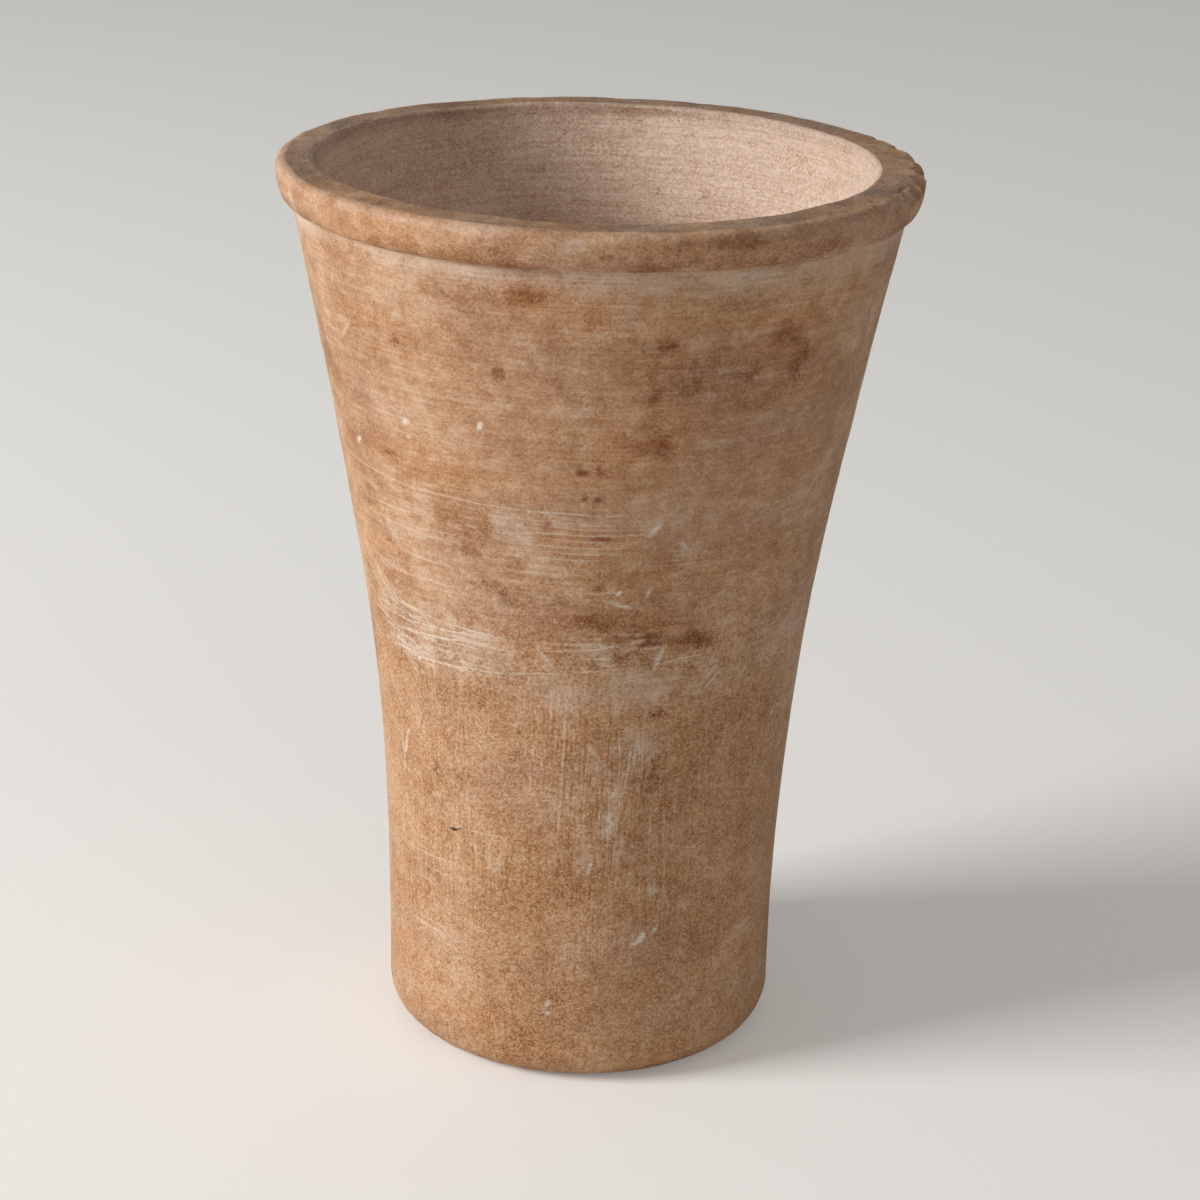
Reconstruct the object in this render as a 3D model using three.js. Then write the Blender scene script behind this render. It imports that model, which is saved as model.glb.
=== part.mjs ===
// Conical vase, carved from one block of veined calcite: a flat foot with a rounded heel, a wall that
// rises almost straight and then flares, and a thick flat-topped lip that overhangs the neck.
// Millimetres, +Z up. The origin is the middle of the foot's flat underside, on the turning axis.
import * as THREE from "three";

// Overall sizes
const HEIGHT = 155;
const BASE_RADIUS = 34.2;
const RIM_RADIUS = 53.7;

// Foot
const HEEL_ROUND = 6;

// Outer wall: it leaves the heel upright and reaches the neck at this slope (radius gained per height).
// Each pull is the share of the wall's height over which that end keeps its own direction.
const NECK_SLOPE = 0.2;
const FOOT_PULL = 0.39;
const NECK_PULL = 0.45;

// Lip: a roll with a convex face, undercut where it meets the neck. The sweep is the radius of the face's
// arc as a multiple of the lip's height, so the face leans in towards its lower edge.
const LIP_HEIGHT = 6.5;
const LIP_OVERHANG = 2.6;
const LIP_FACE_SWEEP = 1.43;
const LIP_TOP_ROUND = 1.5;
const LIP_FOOT_ROUND = 1.6;
const RIM_WIDTH = 7.35;
const MOUTH_EDGE_ROUND = 1;

// Hollow
const FLOOR_THICKNESS = 12;
const FOOT_WALL = 8;
const FLOOR_ROUND = 9;
const MOUTH_SLOPE = 0.19;
const FLOOR_PULL = 0.42;
const MOUTH_PULL = 0.4;

// Smoothness of the turned surface
const TURN_STEPS = 72;
const WALL_STEPS = 14;
const ARC_STEPS = 5;

const STONE = new THREE.MeshStandardMaterial({ color: 0xb98f69, roughness: 0.6, metalness: 0 });

// Points along a round edge of the outline, from one angle to another (radians, anticlockwise from +X).
function roundEdge(centreRadius, centreHeight, radius, from, to) {
  const arc = new THREE.EllipseCurve(centreRadius, centreHeight, radius, radius, from, to, to < from);
  return arc.getPoints(ARC_STEPS);
}

// Points along a wall between two places on the outline, each held to its own slope over its pull.
function wallCurve(start, startSlope, startPull, end, endSlope, endPull) {
  const rise = end.y - start.y;
  const leave = new THREE.Vector2(startSlope, 1).multiplyScalar(startPull * rise).add(start);
  const arrive = new THREE.Vector2(-endSlope, -1).multiplyScalar(endPull * rise).add(end);
  return new THREE.CubicBezierCurve(start, leave, arrive, end).getPoints(WALL_STEPS);
}

// Outside, from the middle of the underside up to the lip's top edge.
function outerOutline() {
  const neckRadius = RIM_RADIUS - LIP_OVERHANG;
  const neckHeight = HEIGHT - LIP_HEIGHT;
  const heelTop = new THREE.Vector2(BASE_RADIUS, HEEL_ROUND);
  const neck = new THREE.Vector2(neckRadius, neckHeight);

  // The face's arc stands upright at the lip's top edge and runs into the round of the lower edge.
  const faceRadius = LIP_FACE_SWEEP * LIP_HEIGHT;
  const faceCentre = new THREE.Vector2(RIM_RADIUS - faceRadius, HEIGHT - LIP_TOP_ROUND);
  const footHeight = neckHeight + LIP_FOOT_ROUND;
  const lean = Math.asin((faceCentre.y - footHeight) / (faceRadius - LIP_FOOT_ROUND));
  const footRadius = faceCentre.x + (faceRadius - LIP_FOOT_ROUND) * Math.cos(lean);

  return [
    new THREE.Vector2(0, 0),
    ...roundEdge(BASE_RADIUS - HEEL_ROUND, HEEL_ROUND, HEEL_ROUND, -Math.PI / 2, 0),
    ...wallCurve(heelTop, 0, FOOT_PULL, neck, NECK_SLOPE, NECK_PULL),
    ...roundEdge(footRadius, footHeight, LIP_FOOT_ROUND, -Math.PI / 2, -lean),
    ...roundEdge(faceCentre.x, faceCentre.y, faceRadius, -lean, 0),
    ...roundEdge(RIM_RADIUS - LIP_TOP_ROUND, faceCentre.y, LIP_TOP_ROUND, 0, Math.PI / 2),
  ];
}

// Inside, from the lip's flat top down the hollow to the middle of its floor.
function innerOutline() {
  const mouthRadius = RIM_RADIUS - RIM_WIDTH;
  const mouth = new THREE.Vector2(mouthRadius, HEIGHT - MOUTH_EDGE_ROUND);
  const hollowRadius = BASE_RADIUS - FOOT_WALL;
  const floorEdge = new THREE.Vector2(hollowRadius, FLOOR_THICKNESS + FLOOR_ROUND);

  return [
    ...roundEdge(mouthRadius + MOUTH_EDGE_ROUND, mouth.y, MOUTH_EDGE_ROUND, Math.PI / 2, Math.PI),
    ...wallCurve(floorEdge, 0, FLOOR_PULL, mouth, MOUTH_SLOPE, MOUTH_PULL).reverse(),
    ...roundEdge(hollowRadius - FLOOR_ROUND, floorEdge.y, FLOOR_ROUND, 0, -Math.PI / 2),
    new THREE.Vector2(0, FLOOR_THICKNESS),
  ];
}

// Neighbouring stretches of the outline share an end point, which is kept once.
function withoutRepeats(points) {
  return points.filter((point, i) => i === 0 || point.distanceTo(points[i - 1]) > 1e-6);
}

// The whole vessel: foot, wall, lip and hollow are one turned body of stone.
function makeVaseBody() {
  const outline = withoutRepeats([...outerOutline(), ...innerOutline()]);
  const vaseBody = new THREE.Mesh(new THREE.LatheGeometry(outline, TURN_STEPS), STONE);
  vaseBody.name = "vase_body";
  vaseBody.rotation.x = Math.PI / 2; // the lathe turns about Y, and the vase stands along Z
  return vaseBody;
}

const vase = new THREE.Group();
vase.add(makeVaseBody());

export default vase;
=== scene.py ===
"""Conical vase of carved calcite: its worn stone surface, its finish and a plain studio stage."""

import math
import random
from typing import NamedTuple

import bmesh
import bpy
import numpy as np
from mathutils import Matrix, Vector, noise
from mathutils.geometry import interpolate_bezier


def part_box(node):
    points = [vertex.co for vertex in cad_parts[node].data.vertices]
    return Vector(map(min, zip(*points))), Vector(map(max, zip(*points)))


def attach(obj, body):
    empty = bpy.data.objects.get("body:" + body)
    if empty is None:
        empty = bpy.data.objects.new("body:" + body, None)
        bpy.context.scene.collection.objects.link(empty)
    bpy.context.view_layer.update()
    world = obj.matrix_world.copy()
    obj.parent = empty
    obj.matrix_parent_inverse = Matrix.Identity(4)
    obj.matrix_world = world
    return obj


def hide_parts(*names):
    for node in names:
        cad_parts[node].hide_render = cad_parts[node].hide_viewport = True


bl_info = {
    "name": "Carved Calcite Vase",
    "version": (1, 0, 0),
    "blender": (4, 5, 0),
    "location": "3D View > Sidebar > Vase",
    "description": "Models a worn conical vase of carved calcite and a plain studio stage for it",
    "category": "Add Mesh",
}

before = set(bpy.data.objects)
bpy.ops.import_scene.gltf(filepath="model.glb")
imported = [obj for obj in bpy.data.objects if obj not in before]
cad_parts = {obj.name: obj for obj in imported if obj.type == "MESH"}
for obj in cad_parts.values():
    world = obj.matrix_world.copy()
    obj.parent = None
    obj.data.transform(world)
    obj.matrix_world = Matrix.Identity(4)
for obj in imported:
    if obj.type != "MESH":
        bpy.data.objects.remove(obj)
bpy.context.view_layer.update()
BODY_LOW, BODY_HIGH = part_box("vase_body")

MM = 0.001
BODY_NAME = "carved_vase"
BAKE_MAP = "OFBake"

# Stretches of the outline, in the order in which it runs from the underside over the lip to the floor
UNDERSIDE, HEEL, WALL, LIP, RIM, MOUTH, HOLLOW, FLOOR = range(8)

# Spacing in mm of the outline's points on each stretch: close where the eye sees the edge, and wide out
# of sight
SPACING = {
    UNDERSIDE: 4.0, HEEL: 0.9, WALL: 1.05, LIP: 0.4, RIM: 0.45, MOUTH: 0.35, HOLLOW: 1.5, FLOOR: 2.0
}
# Share of the unrolled map that each stretch takes for its length
MAP_SHARE = {
    UNDERSIDE: 0.5, HEEL: 1.0, WALL: 1.3, LIP: 1.6, RIM: 1.4, MOUTH: 1.4, HOLLOW: 0.8, FLOOR: 0.5
}
TURN_STEPS = 288
# Points of the outline that are closer than this are one point, and so are those at the spin's seam
SAME_POINT = 0.01 * MM
SAME_PLACE = 0.002 * MM
# How far the ends of a level edge may differ in height and radius
LEVEL_EDGE = 0.001 * MM
# Points nearer to the vase's axis than this have no angle of their own
ON_AXIS = 0.1 * MM
# Edges that turn by more than this many degrees look sharp
SHARP_TURN = 24
# The hollow was drilled a little off the vase's axis, towards the left and the back
HOLLOW_SHIFT = Vector((-0.65 * MM, 0.5 * MM, 0))

# Mean radius that turns an angle round the wall into a length across it
UNROLLED_RADIUS = 42 * MM
# The scuffed waist, where the turned upper wall gives way to the scraped lower wall
WAIST_TOP = 92 * MM
WAIST_FOOT = 68 * MM
# How far the waist's border wanders up and down, and where the waist is rubbed most
WAIST_WANDER = 4 * MM
RUBBED_WAIST = 80 * MM
# Noise that unsettles the wear: fine, broad and in level bands, by its sizes across and upright in mm
WOBBLE, DRIFT, BANDS = (3.2, 3.2), (16, 16), (26, 9)
# Heights in mm over which wear and darkening come in: scraping above the foot and darkening at the foot,
# painted shade on the lip's lower part above the neck, and the worn edge from the lip's top
SCRAPED_BAND = (12, 36)
FOOT_DARKENING_BAND = (3.5, 0.5)
LIP_SHADE_BAND = (4.2, 0.8)
EDGE_BAND = (-2.0, -0.8)
# Share of the scraping that is left at the foot
SCRAPED_FOOT = 0.35
# How far noise moves a mark's border, and the border's outer and inner reach in the mark's own sizes
MARK_WOBBLE = 0.35
MARK_BORDER = (1.35, 0.35)

# Waves that tools and use left in the surface: their depth, and their sizes across and upright, in mm
BODY_WAVES = ((0.22, 33, 40), (0.05, 6, 6))
TURNED_WAVE = (0.045, 70, 1.9)
SCRAPED_WAVE = (0.07, 5, 80)
LIP_WAVES = ((0.16, 9, 20), (0.07, 2.6, 4))
HOLLOW_WAVE = (0.07, 60, 2.6)

# Roughness of a dent and of a chip's scar: its share of the depth or radius, and its grain in mm
DENT_ROUGHNESS, DENT_GRAIN = 0.35, 1.4
CHIP_ROUGHNESS, CHIP_GRAIN = 0.12, 1.5
# How far a dent reaches, in its own half sizes
DENT_REACH = 2
# How deep in mm a chip has to go to show fresh stone only
FRESH_CHIP = 0.6
# Where the middle of the heel's round lies, as a share of its radius in from its sides
HEEL_MIDDLE = 0.3


class Stroke(NamedTuple):
    """A scratch or spot on the wall: angles in degrees from the front, heights and width in mm."""

    from_angle: float
    from_height: float
    to_angle: float
    to_height: float
    width: float
    strength: float


class Mark(NamedTuple):
    """A soft patch on the stone: angle in degrees from the front, sizes in mm, and tilt in degrees."""

    angle: float
    height: float
    half_width: float
    half_height: float
    strength: float
    tilt: float = 0


class Dent(NamedTuple):
    """A shallow hollow in the wall: angle in degrees from the front, the rest in mm."""

    angle: float
    height: float
    half_width: float
    half_height: float
    depth: float


class Chip(NamedTuple):
    """A bite out of an edge: its angle in degrees, depth and ball radius in mm, and lean from level."""

    edge: str
    angle: float
    depth: float
    ball: float
    lean: float


class Shares(NamedTuple):
    """How much of one kind of work or wear each place on the vase shows, from 0 to 1."""

    lower_wall: float
    upper_wall: float
    lip: float
    rim: float
    inside: float


def listed(kind, *rows):
    """A table's rows as strokes, marks, dents or chips."""
    return tuple(kind(*row) for row in rows)


# Scratches and spots that are bruised white
PALE_STROKES = listed(
    Stroke,
    (-67, 108, -18, 107.2, 0.5, 0.55), (-28, 107.4, 16, 107, 0.5, 0.55),
    (-19, 103.4, 11, 103.7, 0.55, 0.65), (-66, 101.8, -37, 102.9, 0.45, 0.5),
    (-67, 99.8, -27, 99.3, 0.5, 0.65), (-18, 101.2, 9, 101.4, 0.5, 0.6),
    (-60, 104.4, -38, 104.1, 0.4, 0.35), (-16, 105.8, 12, 105.4, 0.4, 0.5),
    (-10, 104.7, 14, 104.6, 0.4, 0.5), (-14, 102.5, 12, 102.4, 0.4, 0.5),
    (-12, 100.2, 10, 100.5, 0.4, 0.5), (-20, 98.9, 6, 99.3, 0.4, 0.45), (-22, 96.2, 2, 96.5, 0.4, 0.35),
    (-50, 100.5, -22, 100.7, 0.4, 0.4), (-50, 95, -33, 94.6, 0.45, 0.4),
    (-63, 91.6, -43, 90.8, 0.5, 0.55), (-53, 90.9, -28, 91.3, 0.4, 0.35),
    (-4, 92.8, 9.5, 93.6, 0.4, 0.5), (-58, 85.3, -40, 83.8, 0.9, 0.6),
    (-43, 84.2, -22, 83.6, 0.45, 0.7), (-57, 83.1, -34, 82.8, 0.45, 0.7),
    (-61, 81.5, -22, 83.3, 0.5, 0.9), (-68, 80.8, -61, 80.5, 0.6, 0.8),
    (-57, 79.4, -27, 81.8, 0.6, 1.1), (-44, 78.5, -26, 79.1, 0.45, 0.75),
    (-63, 79.3, -50, 78.5, 0.55, 0.65), (-53, 78.9, -42, 76.5, 0.65, 0.8),
    (-52, 75.5, -22, 77, 0.55, 0.8), (-28, 76.6, 11, 79.5, 0.45, 0.7), (-10, 82.2, 3, 82.9, 0.45, 0.8),
    (0, 82.5, 9, 83.7, 0.6, 0.95), (16, 79.7, 31, 80.8, 0.5, 0.8), (-61, 86.7, -50, 84.8, 0.45, 0.6),
    (-63, 85.4, -47, 83, 0.4, 0.5), (-55, 84, -44, 82.2, 0.4, 0.5), (-58, 82.2, -38, 81, 0.4, 0.5),
    (-50, 81.6, -30, 82.1, 0.4, 0.55), (-48, 80.6, -26, 80.7, 0.4, 0.5),
    (-46, 79.6, -33, 79.5, 0.4, 0.45), (-42, 77.4, -24, 77.6, 0.4, 0.5),
    (-46, 75.9, -18, 76.3, 0.4, 0.5), (-10, 83.5, 8, 84, 0.4, 0.5), (-12, 78.5, 6, 79, 0.4, 0.45),
    (-47.6, 75.4, -46.4, 75.8, 1.1, 0.9), (-12.5, 83, -8.4, 79.3, 0.8, 0.6),
    (-51.8, 75.1, -47.4, 71.3, 0.7, 0.65), (-41, 88, -42, 72, 0.5, 0.55),
    (29.3, 74.8, 34.5, 78.6, 0.6, 0.9), (30.4, 73.5, 34.5, 76.6, 0.5, 0.8),
    (16.8, 79.4, 18.6, 82.6, 1.6, 1.1), (-57.5, 37.7, -38, 38.6, 0.5, 0.65),
    (-55, 40.5, -49.5, 40.9, 0.7, 0.5), (-56, 35.8, -32, 35.6, 0.45, 0.45),
    (-61, 24.4, -37, 24, 0.5, 0.5), (-58, 25.8, -37, 25.3, 0.45, 0.4),
    (-35.5, 45.8, -19, 46.3, 0.4, 0.55), (-59.6, 130, -55.3, 133.3, 1, 0.65),
    (-4.8, 76, -5.7, 58, 0.5, 0.6), (-6, 58, -7, 42, 0.4, 0.4), (-8.5, 76, -9.2, 64, 0.45, 0.4),
    (-15.3, 77, -15.6, 62, 0.45, 0.4), (8.4, 71, 9.4, 58, 0.5, 0.6), (12.6, 67, 10.6, 55, 0.55, 0.6),
    (10.4, 62, 8.2, 36, 0.5, 0.55), (7.6, 36, 6.9, 26, 0.45, 0.45), (18.4, 56, 18.7, 42, 0.5, 0.45),
    (22.4, 51.5, 22.7, 46, 0.8, 0.6), (17.6, 28, 18, 28.5, 2.1, 2), (15.4, 27.1, 16.8, 27.4, 1.1, 1.5),
    (15.2, 28.7, 15.8, 28.5, 0.8, 0.8), (21.2, 28.9, 21.9, 29.4, 1.2, 1.5),
    (-41.5, 118.9, -41, 119.2, 1.5, 1.7), (-23.1, 120.7, -22.8, 121.3, 1.3, 1.8),
    (-61.2, 111.7, -59.6, 112.6, 1.2, 1.2), (-41.3, 116.3, -40.7, 116.4, 1, 1.1),
    (13.3, 103.7, 14.8, 105.3, 1.4, 1.5), (20, 102.3, 21.8, 100.5, 1, 0.7),
    (6.5, 93.1, 7.1, 93.4, 1, 1.4), (5.8, 91.4, 9.6, 90.7, 1.1, 1.3),
    (13.2, 92.6, 13.8, 93.6, 1.1, 0.8), (-53.5, 88.2, -52.2, 88.8, 1, 0.6),
    (2.3, 41.3, 2.7, 43.2, 1.1, 1.5), (19.7, 52.1, 20.1, 52.5, 0.9, 0.9),
    (-8.9, 15.4, -8.2, 15.7, 1.4, 1.2), (-9.4, 14, -7.8, 13.7, 1.1, 1),
    (7.2, 48.9, 7.4, 52.1, 3.4, 0.85), (7.9, 55.6, 8.5, 56.4, 1.6, 0.75),
    (-58.7, 55.2, -57.6, 57.6, 1.5, 1.1), (-57.2, 58.6, -55.4, 60.6, 1.1, 0.7),
    (-57, 63, -61.5, 67, 0.9, 0.45), (-62, 53.2, -56.5, 52.1, 0.9, 0.5), (-65, 71, -59, 60.5, 0.6, 0.6),
    (-60.2, 60, -59.2, 51, 1, 0.7), (-68, 88.5, -58, 82.3, 0.5, 0.65), (-70, 84, -60, 80, 0.45, 0.6),
    (-66, 81.5, -51, 75.8, 0.5, 0.65), (-57, 80.3, -51.5, 75.6, 0.4, 0.6),
    (-69, 91.5, -55, 86.6, 0.4, 0.55), (-64, 89.5, -56, 84.5, 0.4, 0.5),
    (-58, 77.6, -50, 73.6, 0.4, 0.45),
)
# Hairlines and pits that hold dirt; the last two strokes are painted shade in the hollows of the waist's
# two dents
DARK_STROKES = listed(
    Stroke,
    (-39.2, 44.9, -37.2, 45.2, 0.9, 1.4), (-37.6, 45.1, -34.6, 45.9, 0.4, 0.8),
    (-47.8, 64.4, -49.3, 62.5, 0.5, 0.7), (-49.2, 62.8, -49.6, 60.6, 0.5, 0.6),
    (-43.9, 54.6, -41.6, 52.8, 0.45, 0.6), (-28.3, 101.3, -27.9, 101.7, 0.5, 0.8),
    (-29, 143.4, -27.2, 142.3, 1, 0.5), (-7.1, 115, -5.4, 115.2, 1, 0.4),
    (-2.5, 114.8, -1.3, 114.5, 1.6, 0.35), (0.9, 109.6, 2.1, 109.9, 1.1, 0.4),
    (-1.8, 110.1, -1, 109.8, 0.9, 0.4), (11.6, 118.7, 14.2, 118.9, 2.2, 0.15),
    (9.6, 136, 14.2, 136.1, 0.9, 0.2), (11.3, 128.1, 11.9, 128.6, 1.4, 0.25),
    # Painted shade in the hollows of the waist's two dents
    (15, 84.6, 18.4, 83.4, 1.7, 0.3), (24, 84.4, 31, 82.9, 2, 0.3),
)
# Patches of the wall that are rubbed pale
PALE_MARKS = listed(
    Mark,
    (-51.4, 98, 1.4, 2.8, 0.7, 28), (-56, 91, 4, 1.2, 0.45), (-16.5, 103, 3.6, 5, 0.62, 30),
    (-8.5, 97, 4, 3, 0.45, -30), (-41, 80.4, 15, 6, 0.42, 4), (-24, 79.6, 8, 3.2, 0.45, 6),
    (-57, 84.5, 8, 4, 0.42, -10), (4, 81.8, 6.5, 2.4, 0.45, 4), (12, 76, 7, 4.5, 0.6),
    (-4, 74, 7, 3.5, 0.38), (15, 63.6, 3.4, 3.6, 0.75), (9.8, 65, 1.8, 3.4, 0.5),
    (-24.2, 40.6, 1.6, 3.2, 0.3), (-31.4, 53.2, 1.2, 0.9, 0.55), (-13, 61, 1.6, 3.4, 0.35),
    (0.8, 42.6, 1.7, 2.2, 0.5), (20.7, 37.2, 1.8, 1.1, 0.9), (29.6, 33, 1.3, 0.9, 0.6),
    (30, 15.4, 1.5, 1, 0.5), (21, 107, 2.2, 4, 0.28, 20), (22, 99.5, 3, 3.5, 0.4),
    (-62, 10.5, 6, 2.5, 0.4), (-39.4, 138, 1.5, 0.9, 0.65), (-2, 125, 2.2, 1, 0.45, 25),
    (5, 141.5, 2.6, 3.6, 0.4, 15), (28, 92, 6, 3.5, 0.2),
)
# Brown stains on the wall, two of them partly painted shade in the hollows of the waist's dents
STAINS_AND_DENT_SHADE = listed(
    Mark,
    (-12.5, 144, 4.4, 2.6, 0.7), (-13.5, 144.3, 2, 1.3, 0.7), (-18, 130.7, 1.5, 1.3, 0.85),
    (-40.5, 132.8, 2.4, 1, 0.85), (-46, 112, 4.5, 1.6, 0.4), (13, 118.8, 3.4, 2.8, 0.75, 15),
    (11.5, 121, 6.5, 6.5, 0.38), (11, 131, 7.5, 8, 0.24), (12, 136, 4.6, 1.3, 0.75, 3),
    (11.6, 128.4, 1.6, 1.6, 0.78), (11, 131.8, 1.1, 3, 0.6), (19, 132, 1.4, 2.8, 0.65, 12),
    (0, 141, 3.5, 2.5, 0.35), (-1.9, 114.7, 1.4, 1.2, 1), (1.4, 115, 1.2, 1.2, 0.8),
    (1.3, 109.7, 1.5, 0.9, 0.9), (-1.4, 110, 1.1, 1, 0.75), (2, 102.6, 2.6, 0.9, 0.85),
    (2.5, 94, 1.6, 1, 0.75), (-3, 88, 5.5, 2, 0.5, -4), (8, 86.7, 5.5, 1.8, 0.6, -6),
    (-19.5, 91, 2, 2.4, 0.4), (-24, 93.5, 7, 4, 0.24), (-52, 95.5, 1.8, 0.8, 0.55),
    # The first two marks here lie in the waist's dents: brown stains and painted shade in their hollows
    (15.5, 84.2, 4.2, 1.9, 0.75, -8), (27.5, 83.6, 5, 2.2, 0.65, -10), (19, 70.4, 1.9, 1.2, 0.68),
    (8.2, 81, 1.9, 1.1, 0.52), (-27.5, 71.5, 1.2, 2.6, 0.45), (38, 136.5, 5, 2.6, 0.7, -15),
    (31, 131, 2.4, 2.2, 0.5), (42.5, 131, 2.6, 4.5, 0.55), (-43.8, 56.4, 1.2, 1, 0.7),
    (-45.4, 55, 1.1, 0.8, 0.65), (19.5, 57.5, 2.4, 2.6, 0.35), (-6.2, 17.5, 2.4, 2.2, 0.3),
    (-35.8, 26.5, 1.1, 0.9, 0.36), (-34, 20, 9, 4, 0.25),
)
# Orange casts round the larger stains
RUST_MARKS = listed(
    Mark,
    (11, 121, 8.5, 7, 0.85), (11, 131.5, 8, 7, 0.55), (-12.5, 144, 5, 3, 0.7), (0, 141, 5, 3, 0.4),
    (4, 87.5, 12, 3.2, 0.6, -5), (16, 84, 7, 3, 0.6, -8), (2, 103, 7, 2.6, 0.5), (38, 135, 9, 7, 0.7),
)
# Dents in the wall, the last four of them at its back
DENTS = listed(
    Dent,
    (16.5, 84, 3.2, 1.6, 0.45), (27.5, 83.6, 4.2, 1.9, 0.6), (19, 70.2, 1.7, 1.3, 0.3),
    (-2, 114.6, 1.3, 1.1, 0.25), (1.3, 109.7, 1.3, 1, 0.2), (13, 119, 3.2, 2.2, 0.2),
    (118, 52, 3, 2, 0.4), (-150, 101, 2.6, 2.2, 0.35), (-104, 31, 2.2, 1.8, 0.3),
    (163, 22, 3.4, 1.6, 0.4),
)
# Chips out of the lip, the mouth's edge and the heel
CHIPS = listed(
    Chip,
    ("lip", 55, 0.8, 5, 60), ("lip", 62, 1.3, 7, 52), ("lip", 70, 1.8, 7, 46), ("lip", 79, 1.9, 6, 42),
    ("lip", 88, 1.8, 5.5, 45), ("lip", 97, 1.7, 5.5, 50), ("lip", 106, 1.5, 5, 52),
    ("lip", 115, 1.1, 4, 55), ("lip", 74, 2.2, 2.2, 25), ("lip", 81, 2.3, 1.9, 18),
    ("lip", 85.5, 2.2, 1.7, 22), ("lip", 91, 2.2, 1.8, 18), ("lip", -70, 0.7, 2.4, 45),
    ("lip", -7, 0.6, 2.8, 62), ("lip", 1, 0.5, 2.2, 35), ("lip", -38, 0.5, 2.6, 50),
    ("lip", 158, 1, 3.4, 45), ("lip", 167, 0.8, 2.6, 40), ("lip", -118, 0.7, 2.8, 50),
    ("lip", -160, 0.8, 3.2, 55), ("mouth", -122, 0.8, 2.4, 130), ("mouth", 150, 0.6, 2.4, 130),
    ("mouth", 112, 0.6, 2.8, 130), ("mouth", -92, 0.5, 2.4, 130), ("foot", -48, 0.5, 3.2, -40),
    ("foot", 74, 0.7, 4, -45), ("foot", 166, 0.6, 3.6, -45),
)
# Where fine scratches lie close together
SCUFF_MARKS = listed(
    Mark,
    (-42, 80.5, 17, 6, 1, 3), (-45, 104, 17, 5, 0.55), (-8, 103, 15, 4.5, 0.6),
    (4, 82, 13, 4.5, 0.75, 3), (26, 77.5, 9, 5, 0.6), (-30, 92, 15, 4, 0.35), (-50, 37, 7, 3, 0.4),
    (-50, 24, 8, 2, 0.4),
)
# Where a scraper left upright lines
COMB_MARKS = listed(
    Mark,
    (8, 57, 13, 17, 1), (-10, 66, 8, 11, 0.7), (20, 40, 8, 12, 0.6), (100, 50, 12, 20, 0.8),
    (-120, 45, 14, 18, 0.8), (175, 60, 12, 14, 0.7),
)
# Pale patches and stains on the lip's face; one of the stains also paints an orange glow
LIP_PALE_MARKS = listed(
    Mark,
    (-67, 151.6, 1.3, 2.2, 0.9), (-4, 152.9, 2.4, 1.3, 0.8), (140, 151.5, 2, 1.6, 0.7),
    (-125, 151, 3, 1.6, 0.6),
)
LIP_STAINS_AND_GLOW = listed(
    Mark,
    # The second mark is partly a brown stain and partly a painted orange glow of light through the lip's
    # thin front edge
    (1.5, 151.3, 1.8, 0.9, 0.7), (24, 153.2, 9, 1.6, 0.6), (-20, 150.6, 7, 1.6, 0.5),
    (40, 150.8, 9, 2, 0.5), (95, 151.5, 8, 2, 0.5), (-150, 151, 9, 1.8, 0.5),
)
# Pale patches and stains inside the mouth
INNER_PALE_MARKS = listed(
    Mark,
    (144, 152, 5, 1.3, 0.7), (131, 152.2, 6, 1.5, 0.85), (118, 152.6, 5, 1.3, 0.7),
    (150, 146.2, 7, 0.8, 0.45, -2), (146, 139.8, 6, 0.8, 0.5, 4),
)
INNER_STAIN_MARKS = listed(
    Mark,
    (149, 146.2, 1, 1, 0.7), (166, 139.8, 1.2, 1, 0.7), (154.5, 139.8, 1.1, 1, 0.65),
    (194, 143, 2.2, 0.9, 0.75), (179, 148, 1.1, 1, 0.7), (182.5, 147.8, 1.1, 1, 0.7),
    (171, 150.8, 1.4, 0.8, 0.5), (171, 153.4, 9, 1.6, 0.6), (123, 146, 8, 5, 0.22),
    (236, 128, 1.3, 1.1, 0.7), (-48, 136, 1.4, 1.2, 0.7), (18, 142, 1.6, 1, 0.6),
    (62, 131, 1.2, 1.4, 0.7), (-12, 121, 1.8, 1.3, 0.6),
)

# How strongly each place was turned, ground smooth and left pinker
TURNED = Shares(lower_wall=0, upper_wall=0.75, lip=0.3, rim=0.6, inside=0.85)
SMOOTH = Shares(lower_wall=0.12, upper_wall=0.45, lip=0.45, rim=0.25, inside=0.33)
BLUSH = Shares(lower_wall=0.05, upper_wall=0.25, lip=0.3, rim=0, inside=0)


def linear(hex_colour):
    """An sRGB hex colour as the linear red, green, blue and alpha that the shaders take."""
    channels = [int(hex_colour[i : i + 2], 16) / 255 for i in (1, 3, 5)]
    bright = [c / 12.92 if c <= 0.04045 else ((c + 0.055) / 1.055) ** 2.4 for c in channels]
    return (*bright, 1.0)


def length(name, description, default):
    """A size in metres that a user may change."""
    return bpy.props.FloatProperty(
        name=name, description=description, default=default, min=0, unit="LENGTH", precision=5
    )


def colour(name, description, hex_colour):
    """A colour that a user may change."""
    return bpy.props.FloatVectorProperty(
        name=name, description=description, default=linear(hex_colour),
        size=4, min=0, max=1, subtype="COLOR",
    )


def ratio(name, description, default):
    """A plain number that a user may change."""
    return bpy.props.FloatProperty(name=name, description=description, default=default, min=0)


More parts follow.
